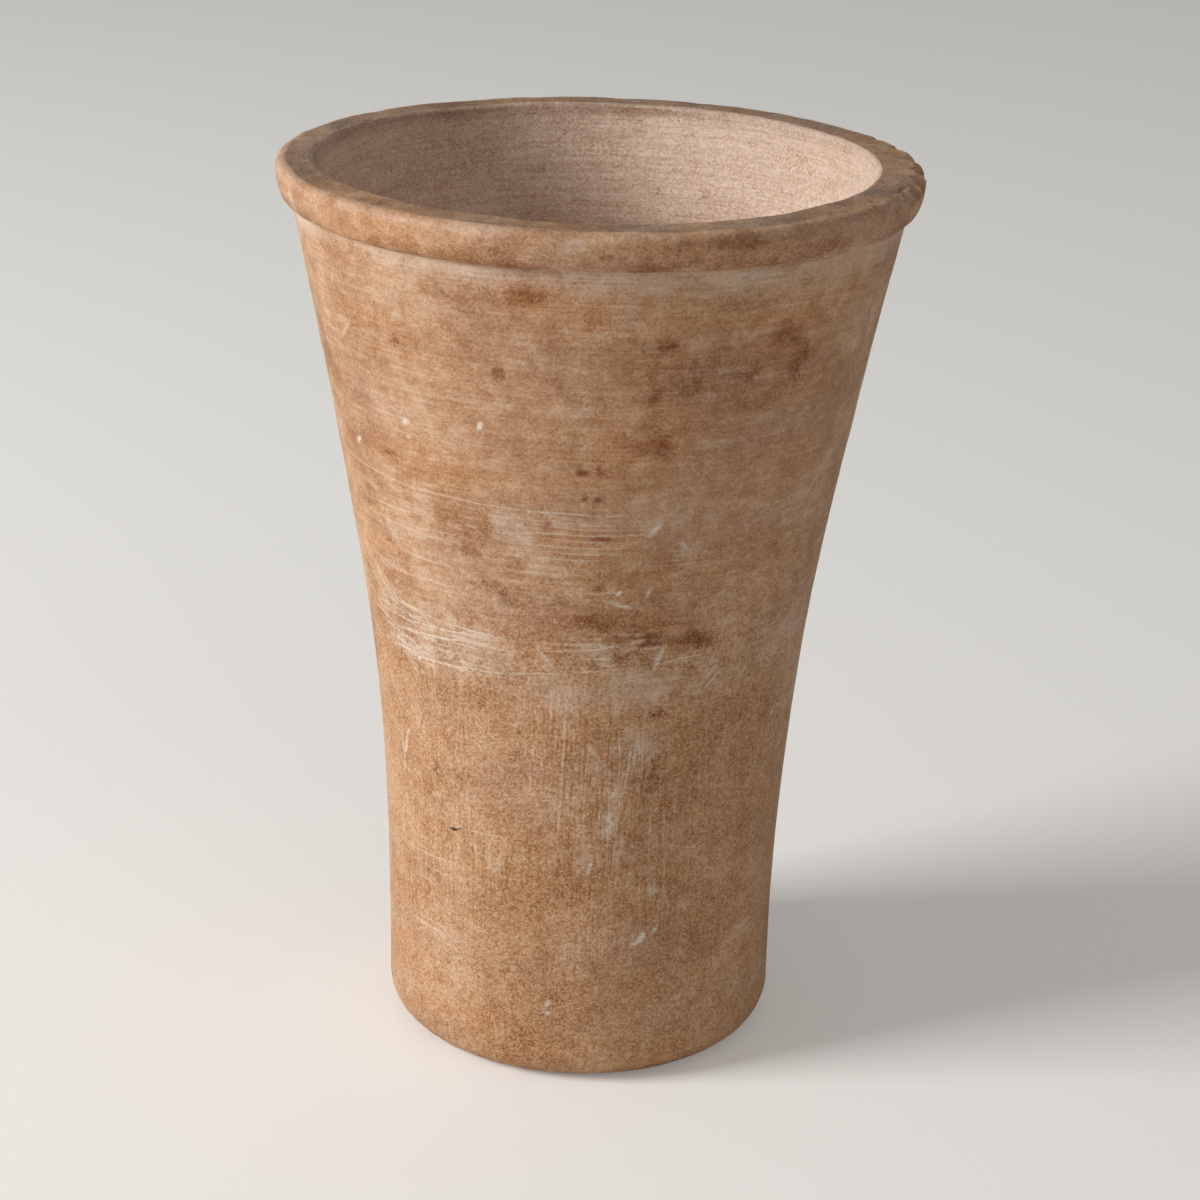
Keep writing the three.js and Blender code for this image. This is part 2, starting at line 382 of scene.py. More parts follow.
class VaseSizes(bpy.types.PropertyGroup):
    """The vase's outline."""

    height: length("Height", "From the flat foot to the lip's top", BODY_HIGH.z - BODY_LOW.z)
    rim_radius: length("Rim radius", "Widest radius of the lip", (BODY_HIGH.x - BODY_LOW.x) / 2)
    base_radius: length("Base radius", "Radius of the wall just above the heel", 34.2 * MM)
    heel_round: length("Heel round", "Radius of the foot's worn edge", 6 * MM)
    neck_slope: ratio("Neck slope", "Radius gained per height where the wall meets the lip", 0.2)
    foot_pull: ratio("Foot pull", "Share of the wall that keeps the foot's direction", 0.39)
    neck_pull: ratio("Neck pull", "Share of the wall that keeps the neck's direction", 0.45)
    lip_height: length("Lip height", "From the undercut to the lip's top", 6.5 * MM)
    lip_overhang: length("Lip overhang", "How far the lip stands out from the neck", 2.6 * MM)
    lip_sweep: ratio("Lip sweep", "Radius of the lip's face per height of the lip", 1.43)
    lip_top_round: length("Lip top round", "Radius of the lip's worn top edge", 1.5 * MM)
    lip_foot_round: length("Lip foot round", "Radius of the lip's lower edge", 1.6 * MM)
    rim_width: length("Rim width", "From the lip's face to the mouth", 7.35 * MM)
    mouth_round: length("Mouth round", "Radius of the mouth's edge", 1 * MM)
    floor_thickness: length("Floor thickness", "Stone under the hollow", 12 * MM)
    foot_wall: length("Foot wall", "Stone beside the hollow at its floor", 8 * MM)
    floor_round: length("Floor round", "Radius where the hollow's wall meets its floor", 9 * MM)
    mouth_slope: ratio("Mouth slope", "Radius gained per height inside the mouth", 0.19)
    floor_pull: ratio("Floor pull", "Share of the hollow that keeps the floor's direction", 0.42)
    mouth_pull: ratio("Mouth pull", "Share of the hollow that keeps the mouth's direction", 0.4)


class StoneColours(bpy.types.PropertyGroup):
    """The colours of the stone, of what has settled on it, and of the shade and glow painted on it."""

    deep: colour("Deep brown", "Darkest veins of the handled wall", "#915f32")
    body: colour("Body brown", "Most of the handled wall", "#bf8f65")
    light: colour("Light brown", "Lightest veins of the handled wall", "#dab28c")
    blush_deep: colour("Blush shade", "Darkest veins where the stone is pinker", "#94684c")
    blush_light: colour("Blush light", "Lightest veins where the stone is pinker", "#d6b297")
    hollow_deep: colour("Hollow shade", "Darker grain inside the vase", "#b8937a")
    hollow_light: colour("Hollow light", "Cleaner stone inside the vase", "#e9d2be")
    scuff: colour("Scuff", "Rubbed and bruised stone", "#d8bfa9")
    bruise: colour("Bruise", "Fresh white scratches and spots", "#ecdfd0")
    stain_and_painted_light: colour("Stain", "Tint of the brown stains that have soaked into the stone", "#c3a079")
    # This tint also gives the painted shade on the lip's lower part and in the waist's dents, and the
    # painted glow on the lip's front edge
    pit_and_dent_shade: colour("Pit", "Dirt in pits and hairlines", "#42260f")
    rust: colour("Rust", "Orange cast of the stone round the larger stains", "#bd7b42")
    # This tint also gives the painted shade in the hollows of the waist's dents
    grime_deep: colour("Grime shade", "Darker handling dirt on the lip's flat top", "#7a5f4b")
    grime_light: colour("Grime light", "Lighter handling dirt on the lip's flat top", "#ad917b")


class StageLook(bpy.types.PropertyGroup):
    """The plain studio round the vase."""

    floor: colour("Floor", "Pale paper floor", "#f0eeea")
    sky: colour("Sky", "Soft light from all round", "#f3f2ef")
    sky_strength: ratio("Sky strength", "Level of the light from all round", 0.25)
    key_power: ratio("Key power", "Watts of the large lamp on the left", 23.5)
    fill_power: ratio("Fill power", "Watts of the weak lamp on the right", 0.9)
    floor_lift: ratio("Floor lift", "How much paler the floor looks than its light makes it", 0.2)


def line(start, end, stretch):
    """Points along a straight stretch of the outline."""
    steps = math.ceil((end - start).length / (SPACING[stretch] * MM))
    return [start.lerp(end, i / steps) for i in range(steps + 1)]


def arc(centre, radius, start, end, stretch):
    """Points along a round stretch of the outline, from one angle to another in degrees."""
    steps = max(3, math.ceil(abs(math.radians(end - start)) * radius / (SPACING[stretch] * MM)))
    turns = [math.radians(start + (end - start) * i / steps) for i in range(steps + 1)]
    return [centre + radius * Vector((math.cos(t), math.sin(t))) for t in turns]


def wall_curve(foot, foot_pull, top, top_slope, top_pull, stretch):
    """Points up a wall that leaves its foot upright and reaches its top at the given slope."""
    rise = top.y - foot.y
    leave = foot + Vector((0, 1)) * foot_pull * rise
    arrive = top - Vector((top_slope, 1)) * top_pull * rise
    return interpolate_bezier(foot, leave, arrive, top, math.ceil(rise / (SPACING[stretch] * MM)) + 1)


def outline(s):
    """The vase's outline as one list of points (radius, height) for each stretch."""
    neck = Vector((s.rim_radius - s.lip_overhang, s.height - s.lip_height))
    heel_centre = Vector((s.base_radius - s.heel_round, s.heel_round))
    heel_top = Vector((s.base_radius, s.heel_round))

    face_radius = s.lip_sweep * s.lip_height
    face_centre = Vector((s.rim_radius - face_radius, s.height - s.lip_top_round))
    inner_face = face_radius - s.lip_foot_round
    foot_height = neck.y + s.lip_foot_round
    lean = math.asin((face_centre.y - foot_height) / inner_face)
    lip_foot = Vector((face_centre.x + inner_face * math.cos(lean), foot_height))
    lip_top = Vector((s.rim_radius - s.lip_top_round, face_centre.y))
    lean = math.degrees(lean)

    mouth_radius = s.rim_radius - s.rim_width
    mouth_centre = Vector((mouth_radius + s.mouth_round, s.height - s.mouth_round))
    mouth = Vector((mouth_radius, mouth_centre.y))
    hollow_radius = s.base_radius - s.foot_wall
    floor_edge = Vector((hollow_radius, s.floor_thickness + s.floor_round))
    floor_centre = Vector((hollow_radius - s.floor_round, floor_edge.y))
    floor_start = Vector((floor_centre.x, s.floor_thickness))

    hollow = wall_curve(floor_edge, s.floor_pull, mouth, s.mouth_slope, s.mouth_pull, HOLLOW)
    return {
        UNDERSIDE: line(Vector((0, 0)), Vector((heel_centre.x, 0)), UNDERSIDE),
        HEEL: arc(heel_centre, s.heel_round, -90, 0, HEEL),
        WALL: wall_curve(heel_top, s.foot_pull, neck, s.neck_slope, s.neck_pull, WALL),
        LIP: arc(lip_foot, s.lip_foot_round, -90, -lean, LIP)
        + arc(face_centre, face_radius, -lean, 0, LIP)
        + arc(lip_top, s.lip_top_round, 0, 90, LIP),
        RIM: line(Vector((lip_top.x, s.height)), Vector((mouth_centre.x, s.height)), RIM),
        MOUTH: arc(mouth_centre, s.mouth_round, 90, 180, MOUTH),
        HOLLOW: hollow[::-1],
        FLOOR: arc(floor_centre, s.floor_round, 0, -90, FLOOR)
        + line(floor_start, Vector((0, s.floor_thickness)), FLOOR),
    }


def turn_outline(bm, stretches):
    """Spins the outline into a closed body whose points know their stretch and place on the map."""
    stretch_layer = bm.verts.layers.float.new("stretch")
    reach_layer = bm.verts.layers.float.new("reach")
    reach = 0.0
    last = None
    for stretch, points in stretches.items():
        for point in points:
            place = Vector((point.x, 0, point.y))
            step = (place - last.co).length if last else 0.0
            if last and step < SAME_POINT:
                continue
            reach += step * MAP_SHARE[stretch]
            vertex = bm.verts.new(place)
            vertex[stretch_layer] = stretch
            vertex[reach_layer] = reach
            if last:
                bm.edges.new((last, vertex))
            last = vertex
    bmesh.ops.spin(
        bm, geom=bm.verts[:] + bm.edges[:], cent=(0, 0, 0), axis=(0, 0, 1), dvec=(0, 0, 0),
        angle=math.tau, steps=TURN_STEPS, use_merge=True,
    )
    bmesh.ops.remove_doubles(bm, verts=bm.verts, dist=SAME_PLACE)

    # The lip is cut twice as fine round the vase, so that small chips keep their shape
    fine = [
        edge
        for edge in bm.edges
        if all(LIP <= round(v[stretch_layer]) <= MOUTH for v in edge.verts)
        and abs(edge.verts[0].co.z - edge.verts[1].co.z) < LEVEL_EDGE
        and abs(edge.verts[0].co.xy.length - edge.verts[1].co.xy.length) < LEVEL_EDGE
    ]
    bmesh.ops.subdivide_edges(bm, edges=fine, cuts=1, use_grid_fill=True)
    bmesh.ops.recalc_face_normals(bm, faces=bm.faces)
    bm.normal_update()


def ripple(point, across, upright):
    """Smooth noise from -1 to 1 with features of these sizes in mm across and up the vase."""
    return noise.noise(
        Vector((point.x / (across * MM), point.y / (across * MM), point.z / (upright * MM)))
    )


def wave(point, depth, across, upright):
    """A wave of this depth and these sizes in mm."""
    return depth * MM * ripple(point, across, upright)


def fade(value, start, end):
    """0 before start, 1 after end, and smooth between them, for a number or an array."""
    t = np.clip((value - start) / (end - start), 0, 1)
    return t * t * (3 - 2 * t)


def bell(value, middle, width):
    """1 at the middle, falling away smoothly on both sides."""
    return np.exp(-(((value - middle) / width) ** 2))


def hand_work(point, stretch):
    """How far the maker's tools and long use left the surface from its true outline."""
    shift = sum(wave(point, *sizes) for sizes in BODY_WAVES)
    if stretch in (HEEL, WALL):
        turned = fade(point.z, WAIST_FOOT, WAIST_TOP)
        shift += turned * wave(point, *TURNED_WAVE) + (1 - turned) * wave(point, *SCRAPED_WAVE)
    elif stretch in (LIP, RIM, MOUTH):
        shift += sum(wave(point, *sizes) for sizes in LIP_WAVES)
    elif stretch == HOLLOW:
        shift += wave(point, *HOLLOW_WAVE)
    return shift


def around(angle, radius, height):
    """A point at an angle in degrees from the front, which faces -Y, turning towards +X."""
    turn = math.radians(angle)
    return Vector((radius * math.sin(turn), -radius * math.cos(turn), height))


def angle_of(point):
    """A point's angle in degrees from the front."""
    return math.degrees(math.atan2(point.x, -point.y))


def turn_between(start, end):
    """The shorter turn in degrees from one angle to another."""
    return (end - start + 180) % 360 - 180


def dent_depth(point):
    """How far the dents sink the wall at a point."""
    depth = 0.0
    for dent in DENTS:
        turn = math.radians(turn_between(dent.angle, angle_of(point)))
        across = turn * point.xy.length / (dent.half_width * MM)
        up = (point.z - dent.height * MM) / (dent.half_height * MM)
        spread = across**2 + up**2
        if spread < DENT_REACH**2:
            rough = 1 + DENT_ROUGHNESS * ripple(point, DENT_GRAIN, DENT_GRAIN)
            depth += dent.depth * MM * math.exp(-spread) * rough
    return depth


def bite(bm, chip, s, chipped_layer):
    """Presses the points inside a chip's ball out to the ball's surface, leaving a shell-shaped scar."""
    heel_inset = HEEL_MIDDLE * s.heel_round
    radius, height = {
        "lip": (s.rim_radius, s.height),
        "mouth": (s.rim_radius - s.rim_width, s.height),
        "foot": (s.base_radius - heel_inset, heel_inset),
    }[chip.edge]
    away = (chip.ball - chip.depth) * MM
    lean = math.radians(chip.lean)
    centre = around(chip.angle, radius + away * math.cos(lean), height + away * math.sin(lean))
    for vertex in bm.verts:
        offset = vertex.co - centre
        if offset.length < (1 + 2 * CHIP_ROUGHNESS) * chip.ball * MM:
            rough = 1 + CHIP_ROUGHNESS * ripple(vertex.co, CHIP_GRAIN, CHIP_GRAIN)
            ball = chip.ball * MM * rough
            push = ball - offset.length
            if push > 0:
                vertex.co = centre + offset.normalized() * ball
                vertex[chipped_layer] = max(vertex[chipped_layer], min(1, push / (FRESH_CHIP * MM)))


def off_axis(point, stretch, s):
    """How far a point moves because the hollow was drilled off the vase's axis."""
    if stretch == RIM:
        flat = s.rim_width - s.lip_top_round - s.mouth_round
        return HOLLOW_SHIFT * fade(s.rim_radius - s.lip_top_round - point.xy.length, 0, flat)
    return HOLLOW_SHIFT if stretch > RIM else Vector()


def work_surface(bm, s):
    """Gives the turned body its hand-worked unevenness, dents, chipped edges and leaning hollow."""
    stretch_layer = bm.verts.layers.float["stretch"]
    chipped_layer = bm.verts.layers.float.new("chipped")
    for vertex in bm.verts:
        stretch = round(vertex[stretch_layer])
        shift = hand_work(vertex.co, stretch)
        if stretch == UNDERSIDE:
            shift = -abs(shift)
        if stretch == WALL:
            shift -= dent_depth(vertex.co)
        vertex.co += vertex.normal * shift
    for chip in CHIPS:
        bite(bm, chip, s, chipped_layer)
    for vertex in bm.verts:
        vertex.co += off_axis(vertex.co, round(vertex[stretch_layer]), s)
        vertex.co.z = max(vertex.co.z, 0)
    bm.normal_update()


def unroll(bm):
    """Lays the surface out on one map: the angle across it and the reach along the outline up it."""
    reach_layer = bm.verts.layers.float["reach"]
    uv_layer = bm.loops.layers.uv.new(BAKE_MAP)
    longest = max(vertex[reach_layer] for vertex in bm.verts)
    for face in bm.faces:
        on_axis = [loop.vert.co.xy.length < ON_AXIS for loop in face.loops]
        turns = [(angle_of(loop.vert.co) / 360 + 0.5) for loop in face.loops]
        own_turns = [t for t, axis in zip(turns, on_axis) if not axis]
        if max(own_turns) - min(own_turns) > 0.5:
            turns = [t + 1 if t < 0.5 else t for t in turns]
            own_turns = [t + 1 if t < 0.5 else t for t in own_turns]
        middle = sum(own_turns) / len(own_turns)
        for loop, turn, axis in zip(face.loops, turns, on_axis):
            loop[uv_layer].uv = (middle if axis else turn, loop.vert[reach_layer] / longest)


def more_marks(seed, count, largest):
    """Marks scattered over the wall's back, in the manner of those on its front."""
    draw = random.Random(seed)
    return tuple(
        Mark(
            angle=draw.uniform(55, 290),
            height=draw.uniform(8, 142),
            half_width=draw.uniform(0.9, largest) * draw.uniform(0.6, 1.4),
            half_height=draw.uniform(0.9, largest) * draw.uniform(0.5, 1.0),
            tilt=draw.uniform(-25, 25),
            strength=draw.uniform(0.3, 0.8),
        )
        for _ in range(count)
    )


class WornPoints:
    """The body's points as arrays: where they are, on which stretch, and noise that unsettles borders."""

    def __init__(self, mesh):
        count = len(mesh.vertices)
        places = np.empty(count * 3)
        mesh.vertices.foreach_get("co", places)
        places = places.reshape(-1, 3)
        stretch = np.empty(count)
        mesh.attributes["stretch"].data.foreach_get("value", stretch)
        stretch = np.round(stretch)
        self.outside = np.isin(stretch, (HEEL, WALL))
        self.inside = np.isin(stretch, (MOUTH, HOLLOW, FLOOR))
        self.lip, self.rim, self.mouth = (stretch == s for s in (LIP, RIM, MOUTH))

        self.radii = np.hypot(places[:, 0], places[:, 1])
        self.angles = np.degrees(np.arctan2(places[:, 0], -places[:, 1]))
        self.heights = places[:, 2]
        points = [Vector(place) for place in places]
        self.wobble, self.drift, self.bands = (
            np.array([ripple(point, *sizes) for point in points]) for sizes in (WOBBLE, DRIFT, BANDS)
        )
        self.warped = self.heights + WAIST_WANDER * self.drift

    def spread(self, shares, upper):
        """Gives each place its share; upper says how far a point belongs to the upper wall."""
        wall = shares.lower_wall + (shares.upper_wall - shares.lower_wall) * upper
        others = shares.lip * self.lip + shares.rim * self.rim + shares.inside * self.inside
        return self.outside * wall + others

    def over(self, band, level=0.0):
        """0 to 1 across a band of heights, given in mm above a level."""
        return fade(self.heights, *(level + height * MM for height in band))

    def uneven(self, base, drift=0.0, wobble=0.0, low=0.0, high=1.0):
        """A share that comes and goes with the noise, within limits."""
        return np.clip(base + drift * self.drift + wobble * self.wobble, low, high)

    def cover(self, marks):
        """How strongly a list of marks covers each point, with uneven borders."""
        cover = np.zeros(len(self.angles))
        for mark in marks:
            across = np.radians(turn_between(mark.angle, self.angles)) * self.radii
            up = self.heights - mark.height * MM
            tilt = math.radians(mark.tilt)
            along = (across * math.cos(tilt) + up * math.sin(tilt)) / (mark.half_width * MM)
            over = (up * math.cos(tilt) - across * math.sin(tilt)) / (mark.half_height * MM)
            distance = np.sqrt(along**2 + over**2) * (1 + MARK_WOBBLE * self.wobble)
            cover = np.maximum(cover, mark.strength * fade(distance, *MARK_BORDER))
        return cover


def tool_wear(p):
    """How the points were turned, scraped, combed, scuffed and ground, and where they are pinker."""
    upper = fade(p.warped, WAIST_FOOT, WAIST_TOP)
    combed = p.outside * p.cover(COMB_MARKS)
    scraped = p.outside * fade(p.warped, WAIST_TOP - 6 * MM, WAIST_FOOT - 4 * MM)
    scraped = scraped * p.uneven(0.45, drift=1, low=0.1, high=0.9)
    scraped = scraped * (SCRAPED_FOOT + (1 - SCRAPED_FOOT) * p.over(SCRAPED_BAND))
    scraped = np.maximum(scraped, 0.9 * combed)
    return {
        "turned": p.spread(TURNED, upper),
        "scraped": scraped,
        "scuffed": p.outside * p.cover(SCUFF_MARKS + more_marks(seed=31, count=16, largest=12.0)),
        "combed": np.maximum(0.25 * scraped, combed),
        "smooth": p.spread(SMOOTH, fade(p.warped, WAIST_FOOT, WAIST_TOP + 15 * MM)),
        "blush": p.spread(BLUSH, upper) + 0.5 * p.bands * (p.outside | p.lip),
    }


def settled_wear(p, s):
    """Where the points are rubbed pale, rusty and grimy, carry stains, are worn at the edges and darker
    at the foot, and where shade and glow are painted.
    """
    neck = s.height - s.lip_height
    edge = np.maximum(p.lip * p.over(EDGE_BAND, s.height), 0.1 * p.mouth)
    edge = edge * p.uneven(0.6, drift=0.5, wobble=0.7)

    under_lip = fade(p.heights + 0.8 * MM * p.drift, neck - 5.2 * MM, neck - 1.2 * MM)
    under_lip = under_lip * p.uneven(0.75, drift=0.6, low=0.4)
    waist = bell(p.warped, RUBBED_WAIST, 6 * MM) * p.uneven(0.2, drift=0.5, high=0.45)
    marked = p.cover(PALE_MARKS + more_marks(seed=11, count=46, largest=3.4))
    pale = p.outside * np.maximum.reduce((marked, under_lip, waist))
    pale = np.maximum(pale, p.lip * p.cover(LIP_PALE_MARKS))
    pale = np.maximum(pale, p.inside * p.cover(INNER_PALE_MARKS))

    # Painted shade on the lip's lower part, darker towards the neck where the lip curls under
    lip_shade = p.over(LIP_SHADE_BAND, neck) * p.uneven(0.5, drift=0.4, wobble=0.3, high=0.75)
    lip_drift = (1 - edge) * p.uneven(0.1, drift=0.6, high=0.35)
    # Darker towards the foot's bottom edge
    foot_darkening = 0.45 * p.over(FOOT_DARKENING_BAND)
    damp = 0.25 * fade(p.drift, 0.45, 0.8)
    marked = p.cover(STAINS_AND_DENT_SHADE + more_marks(seed=23, count=40, largest=3.0))
    stain_and_painted_light = p.outside * np.maximum(marked, foot_darkening)
    # The lip's stains with their painted glow, its drifting stains and its painted shade
    lip_stain_and_painted_light = np.maximum.reduce((p.cover(LIP_STAINS_AND_GLOW), lip_drift, lip_shade))
    stain_and_painted_light = np.maximum(stain_and_painted_light, p.lip * lip_stain_and_painted_light)
    stain_and_painted_light = np.maximum(stain_and_painted_light, p.inside * np.maximum(p.cover(INNER_STAIN_MARKS), damp))

    # The mouth's edge is cleaner on the right, and the lip's top on the left of its front
    clean_right = 0.85 * bell(p.angles, 85, 45)
    clean_front = 0.55 * bell(p.angles, -42, 26)
    grime = (p.rim + 0.55 * p.mouth * (1 - clean_right)) * (1 - clean_front)
    grime = grime * p.uneven(0.75, drift=0.6, wobble=0.4)
    return {
        "pale": pale * (1 - 0.8 * stain_and_painted_light),
        "stain_and_painted_light": stain_and_painted_light,
        "rust": p.outside * p.cover(RUST_MARKS + more_marks(seed=47, count=9, largest=8.0)),
        "grime": grime,
        "edge": edge,
    }


def paint_wear(mesh, s):
    """Records on every point how it was worked, rubbed, marked with stains and handled, and where shade
    and glow are painted.
    """
    p = WornPoints(mesh)
    wear = {**tool_wear(p), **settled_wear(p, s), "inside": p.inside, "outside": p.outside}
    for name, values in wear.items():
        mesh.attributes.new(name, "FLOAT", "POINT").data.foreach_set(
            "value", np.clip(values, 0, 1).astype(np.float32)
        )


def add(tree, kind, *values, named=None, out=0, **settings):
    """Adds a shader node, sets it, links or sets its inputs, and returns one of its outputs.

    The kind may end with an operation. The values go to the first inputs in order, and the named ones to
    inputs of those names or numbers.
    """
    kind, _, operation = kind.partition(" ")
    made = tree.nodes.new("ShaderNode" + kind)
    if operation:
        made.operation = operation
    for name, value in settings.items():
        setattr(made, name, value)
    for key, value in (*enumerate(values), *(named or {}).items()):
        if isinstance(value, bpy.types.NodeSocket):
            tree.links.new(value, made.inputs[key])
        else:
            made.inputs[key].default_value = value
    return made.outputs[out]


def weighted_sum(tree, base, *terms):
    """Adds several patterns to a base, each times a weight or another pattern."""
    for pattern, weight in terms:
        base = add(tree, "Math MULTIPLY_ADD", pattern, weight, base)
    return base


# Work and wear that the points carry, with painted shade and glow, as paint_wear and work_surface record
# them
WEAR = (
    "turned", "scraped", "scuffed", "combed", "smooth", "blush", "pale", "stain_and_painted_light", "rust", "grime", "edge",
    "inside", "outside", "chipped",
)
# Every pattern swings about this level
MIDDLE = 0.5
# Stone patterns: size across and upright in mm, tilt in degrees and how many finer copies are added
PATTERNS = {
    "clouds": (17.0, 17.0, 0, 3.0),
    "mottle": (3.6, 3.0, 0, 4.0),
    "flecks": (1.9, 1.0, 0, 2.0),
    "grain": (0.65, 0.55, 0, 3.0),
    "scraping": (0.55, 30.0, 0, 3.0),
}
TURNING = (17.0, 0.65, 0, 3.0)
PATTERN_ROUGHNESS = 0.6
# Breadth in mm of the stone's crystals and of the granules they make up, each with a shade of its own
CRYSTALS = {"crystal": 0.3, "granule": 0.75}
# Streaks left by the tools: their pattern, where they show and how strongly
STREAKS = (("turning", "turned", 1.25), ("scraping", "scraped", 2.1))
# The fine patterns fade to their middle where the surface was ground smooth. The broad ones fade inside,
# where no hand has darkened the stone, and stand out most where it was turned
FADING = {"rough": ("flecks", "grain", *CRYSTALS), "handled": ("clouds", "mottle")}
HANDLED_INSIDE = -0.8
HANDLED_TURNED = 0.5
# Weight of each pattern in the stone's tone
TONE = {"clouds": 0.44, "mottle": 0.33, "grain": 0.22, "granule": 0.07, "crystal": 0.35, "streaks": 0.32}
# Weight of each pattern in what makes stains and rubbed patches uneven
UNEVEN = {"mottle": 1.0, "grain": 1.0, "crystal": 0.6}
# Stains and painted shade take less on the light grains, and rubbing shows on them more
DARKENING_UNEVENNESS = -0.45
RUBBED_UNEVENNESS = 0.5
# How far full darkening by stains and painted shade hides the rubbing over it
DARKENING_COVER = -0.75
# Height of each pattern in the stone's relief, in mm
RELIEF = {"grain": 0.18, "flecks": 0.18, "mottle": 0.16, "streaks": 0.12, "pores": -0.07}
# Specks: their spacing in mm, a shift, how rare they are, and their radius and soft border in spacings
SPECKS = {
    "white": (8.0, 0.0, 0.82, 0.09, 0.05),
    "dark": (4.2, 0.37, 0.82, 0.09, 0.05),
    "pores": (0.75, 0.11, 0.35, 0.3, 0.12),
    "glints": (0.85, 0.23, 0.45, 0.3, 0.12),
}
# The strokes were drawn unsteadily: over what length, and by how far
HAND_REACH = 5 * MM
HAND_SWING = 0.8 * MM
# Where a stroke's tapering ends run out from its middle, as a share of its length
STROKE_TAPER = 0.7
# Hairline scratches: length and pitch of the lines in mm, their tilt, breadth and strength, and where
HAIRLINES = (
    (60.0, 2.6, 0, 0.04, 0.35, "turned"),
    (36.0, 1.1, 4, 0.06, 0.8, "scuffed"),
    (28.0, 1.4, -5, 0.06, 0.75, "scuffed"),
    (2.3, 45.0, 0, 0.06, 0.7, "combed"),
)
# What a layer takes from a pattern: two levels of the pattern, and the layer's share at each of them
BROKEN_LINES = (0.42, 0.6, 0.0, 1.0)
DARKENING_RANGE = (0.22, 0.82, 0.0, 0.95)
DARK_FLECKS = (0.4, 0.28, 0.0, 0.22)
PALE_FLECKS = (0.6, 0.74, 0.0, 0.5)
PALE_HAZE = (0.5, 0.72, 0.0, 0.24)
RUBBED_THROUGH = (0.08, 1.0, 0.0, 0.75)
BRUSHED = (0.82, 1.12, 0.45, 1.25)
GRITTY = (0.36, 0.6, 0.25, 1.0)
DULLNESS = (0.3, 0.7, 0.48, 0.64)
# How strongly the other marks show
STRENGTH = {
    "rust": 0.45, "pores": 0.27, "glints": 0.35, "chips": 0.18, "bruises": 0.6, "edges": 0.28,
    "pits": 0.5, "dulling": 0.16,
}
# Polished calcite has an IOR near 1.5; this one is dulled, and red light goes furthest into it
STONE_FINISH = {
    "IOR": 1.5,
    "Specular IOR Level": 0.28,
    "Subsurface Weight": 0.25,
    "Subsurface Radius": (1.0, 0.45, 0.2),
    "Subsurface Scale": 2.5 * MM,
}


def noise_of(tree, place, across, upright, tilt, detail):
    """Noise whose features have these sizes in millimetres."""
    turn = (0, math.radians(tilt), 0)
    sizes = (across * MM, across * MM, upright * MM)
    sized = add(tree, "Mapping", place, (0, 0, 0), turn, sizes, vector_type="TEXTURE")
    look = {"Vector": sized, "Scale": 1.0, "Detail": detail, "Roughness": PATTERN_ROUGHNESS}
    return add(tree, "TexNoise", named=look)


def strokes_over(tree, unrolled, strokes):
    """Adds up thin tapering strokes drawn on the unrolled wall."""
    drawn = []
    for stroke in strokes:
        start = Vector((math.radians(stroke.from_angle) * UNROLLED_RADIUS, stroke.from_height * MM))
        end = Vector((math.radians(stroke.to_angle) * UNROLLED_RADIUS, stroke.to_height * MM))
        run = end - start
        half = stroke.width * MM / 2
        middle = ((start + end) / 2).to_3d()
        turn = (0, 0, math.atan2(run.y, run.x))
        sizes = (STROKE_TAPER * run.length + half, half, 1)
        local = add(tree, "Mapping", unrolled, middle, turn, sizes, vector_type="TEXTURE")
        shape = add(tree, "TexGradient", local, out="Fac", gradient_type="SPHERICAL")
        drawn.append((shape, stroke.strength))
    return weighted_sum(tree, 0.0, *drawn)


def unrolled_wall(tree, place):
    """Angle across and height up, a little unsteady, so that the scratches wander as drawn lines do."""
    axes = add(tree, "SeparateXYZ", place).node.outputs
    front = add(tree, "Math MULTIPLY", axes["Y"], -1.0)
    turn = add(tree, "Math ARCTAN2", axes["X"], front)
    across = add(tree, "Math MULTIPLY", turn, UNROLLED_RADIUS)
    flat = add(tree, "CombineXYZ", across, axes["Z"])
    look = {"Vector": flat, "Scale": 1 / HAND_REACH, "Detail": 2.0}
    unsteady = add(tree, "TexNoise", named=look, out="Color")
    swing = add(tree, "VectorMath SUBTRACT", unsteady, (MIDDLE, MIDDLE, MIDDLE))
    swing = add(tree, "VectorMath MULTIPLY", swing, (HAND_SWING, HAND_SWING, 0))
    return add(tree, "VectorMath ADD", flat, swing)


def wear_on(tree):
    """The work and wear that the points carry, with the painted shade and glow, and how rough and how
    handled that leaves the stone.
    """
    worn = {name: add(tree, "Attribute", out="Fac", attribute_name=name) for name in WEAR}
    worn["rough"] = add(tree, "Math SUBTRACT", 1.0, worn["smooth"])
    handled = (worn["inside"], HANDLED_INSIDE), (worn["turned"], HANDLED_TURNED)
    worn["handled"] = weighted_sum(tree, 1.0, *handled)
    return worn


